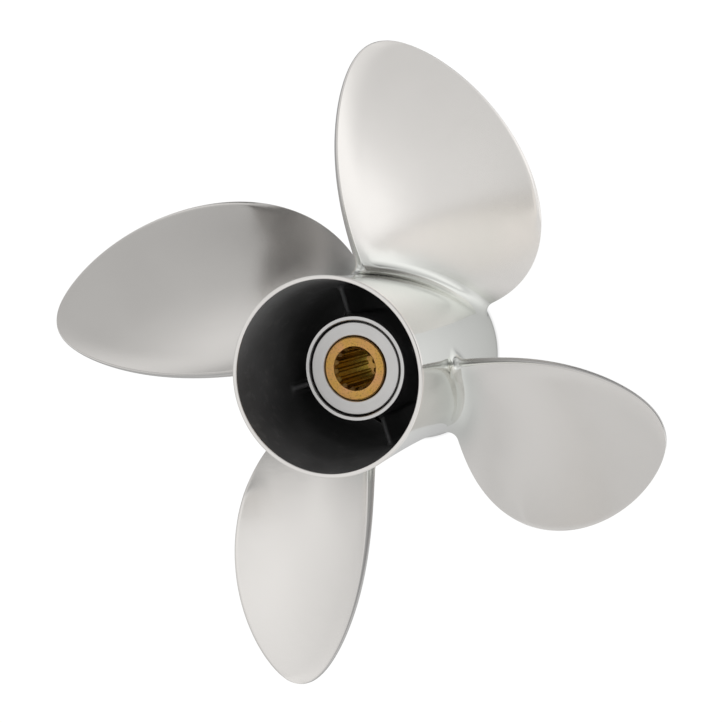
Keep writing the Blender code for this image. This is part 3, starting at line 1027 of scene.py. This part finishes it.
def make_sleeve(brass, ring_tree):
    """The turned sleeve with its ring of spline teeth: its bore is the spline's root circle."""
    cut = SLEEVE_CHAMFER
    bore = SPLINE_ROOT_RADIUS
    outline = [
        (SLEEVE_RADIUS - cut, SLEEVE_FORWARD, METAL),
        (SLEEVE_RADIUS, SLEEVE_FORWARD + cut, METAL),
        (SLEEVE_RADIUS, SLEEVE_AFT - cut, METAL),
        (SLEEVE_RADIUS - cut, SLEEVE_AFT, METAL),
        (bore + BORE_CHAMFER, SLEEVE_AFT, METAL),
        (bore, SLEEVE_AFT - BORE_CHAMFER, METAL),
        (bore, SPLINE_FORWARD, METAL),
        (bore + BORE_CHAMFER, SPLINE_FORWARD - BORE_CHAMFER, METAL),
        (FORWARD_BORE_RADIUS, SLEEVE_FORWARD + cut, METAL),
        (FORWARD_BORE_RADIUS + cut / 2, SLEEVE_FORWARD, METAL),
    ]
    sleeve = turned("sleeve_form", outline, TUBE_STEPS, [brass])
    settings = {"Count": SPLINE_TEETH, "First Angle": 0.0, "Finish": brass}
    teeth = soften(run_nodes("spline_teeth", tooth_mesh(brass), ring_tree, settings))
    bm = bmesh.new()
    bm.from_mesh(sleeve.data)
    bm.from_mesh(teeth.data)
    bm.to_mesh(sleeve.data)
    bm.free()
    bpy.data.objects.remove(teeth)
    return soften(sleeve)


# Studio


def add_camera():
    data = bpy.data.cameras.new("studio_camera")
    data.sensor_width = SENSOR_MM
    data.lens = CAMERA_LENS_MM
    data.clip_start = NEAREST_SEEN
    camera = add_object("studio_camera", data)
    ahead = (Vector(CAMERA_AIM) - Vector(CAMERA_PLACE)).normalized()
    right = ahead.cross(Vector(CAMERA_UP)).normalized()
    up = right.cross(ahead)
    turn = Matrix((right, up, -ahead)).transposed()
    camera.matrix_world = Matrix.Translation(CAMERA_PLACE) @ turn.to_4x4()
    bpy.context.scene.camera = camera


def soft_disc(tree, distance, radius):
    """One at the middle of a round patch, falling smoothly to nothing at its radius."""
    return map_of(tree, distance, radius, 0.0)


def add_up(tree, base, patches):
    total = base
    for strength, mask in patches:
        total = math_of(tree, "MULTIPLY_ADD", mask, strength, total)
    return math_of(tree, "MAXIMUM", total, DIMMEST)


def blend(tree, share, first, second):
    """One shader, going over into a second one as the share rises."""
    made = node(tree, "ShaderNodeMixShader")
    feed(tree, made.inputs["Fac"], share)
    tree.links.new(first, made.inputs[1])
    tree.links.new(second, made.inputs[2])
    return made.outputs[0]


def camera_switch(tree, seen, mirrored):
    """What the camera sees directly, and what lights and mirrors show."""
    return blend(tree, node(tree, "ShaderNodeLightPath").outputs["Is Camera Ray"], mirrored, seen)


def coloured(tree, kind, colour):
    """A plain shader node of a kind, in a colour or a grey."""
    made = node(tree, kind)
    feed(tree, made.inputs["Color"], colour)
    return made.outputs[0]


def build_world():
    world = bpy.data.worlds.new("studio_tent")
    bpy.context.scene.world = world
    world.use_nodes = True
    tree = world.node_tree
    tree.nodes.clear()
    looking = node(tree, "ShaderNodeTexCoord").outputs["Generated"]
    patches = []
    for azimuth, off_axis, radius, strength in TENT_PATCHES:
        product = node(tree, "ShaderNodeVectorMath", operation="DOT_PRODUCT")
        tree.links.new(looking, product.inputs[0])
        product.inputs[1].default_value = direction(azimuth, off_axis)
        angle = math_of(tree, "ARCCOSINE", product.outputs["Value"])
        patches.append((strength, soft_disc(tree, angle, radius * DEG)))
    tent = coloured(tree, "ShaderNodeBackground", add_up(tree, TENT_LEVEL, patches))
    backdrop = coloured(tree, "ShaderNodeBackground", (BACKDROP_LEVEL,) * 3 + (1.0,))
    out = node(tree, "ShaderNodeOutputWorld")
    tree.links.new(camera_switch(tree, backdrop, tent), out.inputs["Surface"])


def make_floor_material():
    material = bpy.data.materials.new("pale_floor")
    material.use_nodes = True
    tree = material.node_tree
    tree.nodes.clear()
    here = node(tree, "ShaderNodeTexCoord").outputs["Object"]

    def distance_to(x, y):
        away = node(tree, "ShaderNodeVectorMath", operation="DISTANCE")
        tree.links.new(here, away.inputs[0])
        away.inputs[1].default_value = (x, y, 0.0)
        return away.outputs["Value"]

    from_shaft = distance_to(0.0, 0.0)

    def outside_foot(under, open_floor):
        """A value for the floor under the barrel, and one for the open floor round it."""
        return map_of(tree, from_shaft, *BARREL_FOOT, under, open_floor)

    patches = []
    for x, y, radius, strength in FLOOR_PATCHES:
        patches.append((strength, soft_disc(tree, distance_to(x, y), radius)))
    shaded = math_of(tree, "MULTIPLY", add_up(tree, FLOOR_LEVEL, patches), outside_foot(BARREL_SHADE, 1.0))
    bore_light = map_of(tree, from_shaft, BORE_LIGHT[0], 0.0, 0.0, BORE_LIGHT[1])
    lit = coloured(tree, "ShaderNodeEmission", math_of(tree, "ADD", shaded, bore_light))
    # Under the barrel the floor is black to the camera too: painted shade, seen through the exhaust passages
    glow = coloured(tree, "ShaderNodeEmission", outside_foot(0.0, BACKDROP_LEVEL))
    paper = coloured(tree, "ShaderNodeBsdfDiffuse", outside_foot(0.0, FLOOR_PAPER))
    floor = camera_switch(tree, blend(tree, FLOOR_SHADOW, glow, paper), lit)
    clear = node(tree, "ShaderNodeBsdfTransparent").outputs[0]
    out = node(tree, "ShaderNodeOutputMaterial")
    tree.links.new(blend(tree, map_of(tree, from_shaft, *FLOOR_FADE), floor, clear), out.inputs["Surface"])
    return material


def add_floor():
    bm = bmesh.new()
    bmesh.ops.create_grid(bm, x_segments=1, y_segments=1, size=FLOOR_FADE[1])
    mesh = bpy.data.meshes.new("studio_floor")
    bm.to_mesh(mesh)
    bm.free()
    mesh.materials.append(make_floor_material())
    floor = add_object("studio_floor", mesh)


def place(piece, node_name, slot_name):
    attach(piece, "root")
    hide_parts(node_name)


groups = {"mottle": make_mottle_group(), "turning": make_turning_group()}
steel = make_polished_steel(groups)
coat = make_exhaust_coat(groups)
hub_steel = make_turned_steel(
    groups, "machined_hub_steel", MACHINED_DULL, MACHINED_BRIGHT, MACHINED_ROUGHNESS, MACHINED_SPACING
)
ring_steel = make_turned_steel(
    groups, "satin_ring_steel", RING_DULL, RING_BRIGHT, RING_ROUGHNESS, RING_SPACING
)
rubber = make_rubber(groups)
brass = make_brass(groups)

place(make_barrel(steel, coat), "outer_barrel", "polished_stainless")
for number, blade in enumerate(make_blades(steel), start=1):
    place(blade, f"blade_{number}", "polished_stainless")
ring_tree = make_ring_tree()
for number, rib in enumerate(make_ribs(coat, ring_tree), start=1):
    place(rib, f"rib_{number}", "exhaust_coat")
place(make_hub_tube(hub_steel, coat), "inner_hub_tube", "machined_steel")
place(make_end_ring(ring_steel), "bushing_end_ring", "ring_steel")
place(make_bushing(rubber), "rubber_bushing", "black_rubber")
place(make_sleeve(brass, ring_tree), "splined_sleeve", "brass")

add_camera()
build_world()
add_floor()
bpy.context.scene.view_settings.view_transform = "Standard"
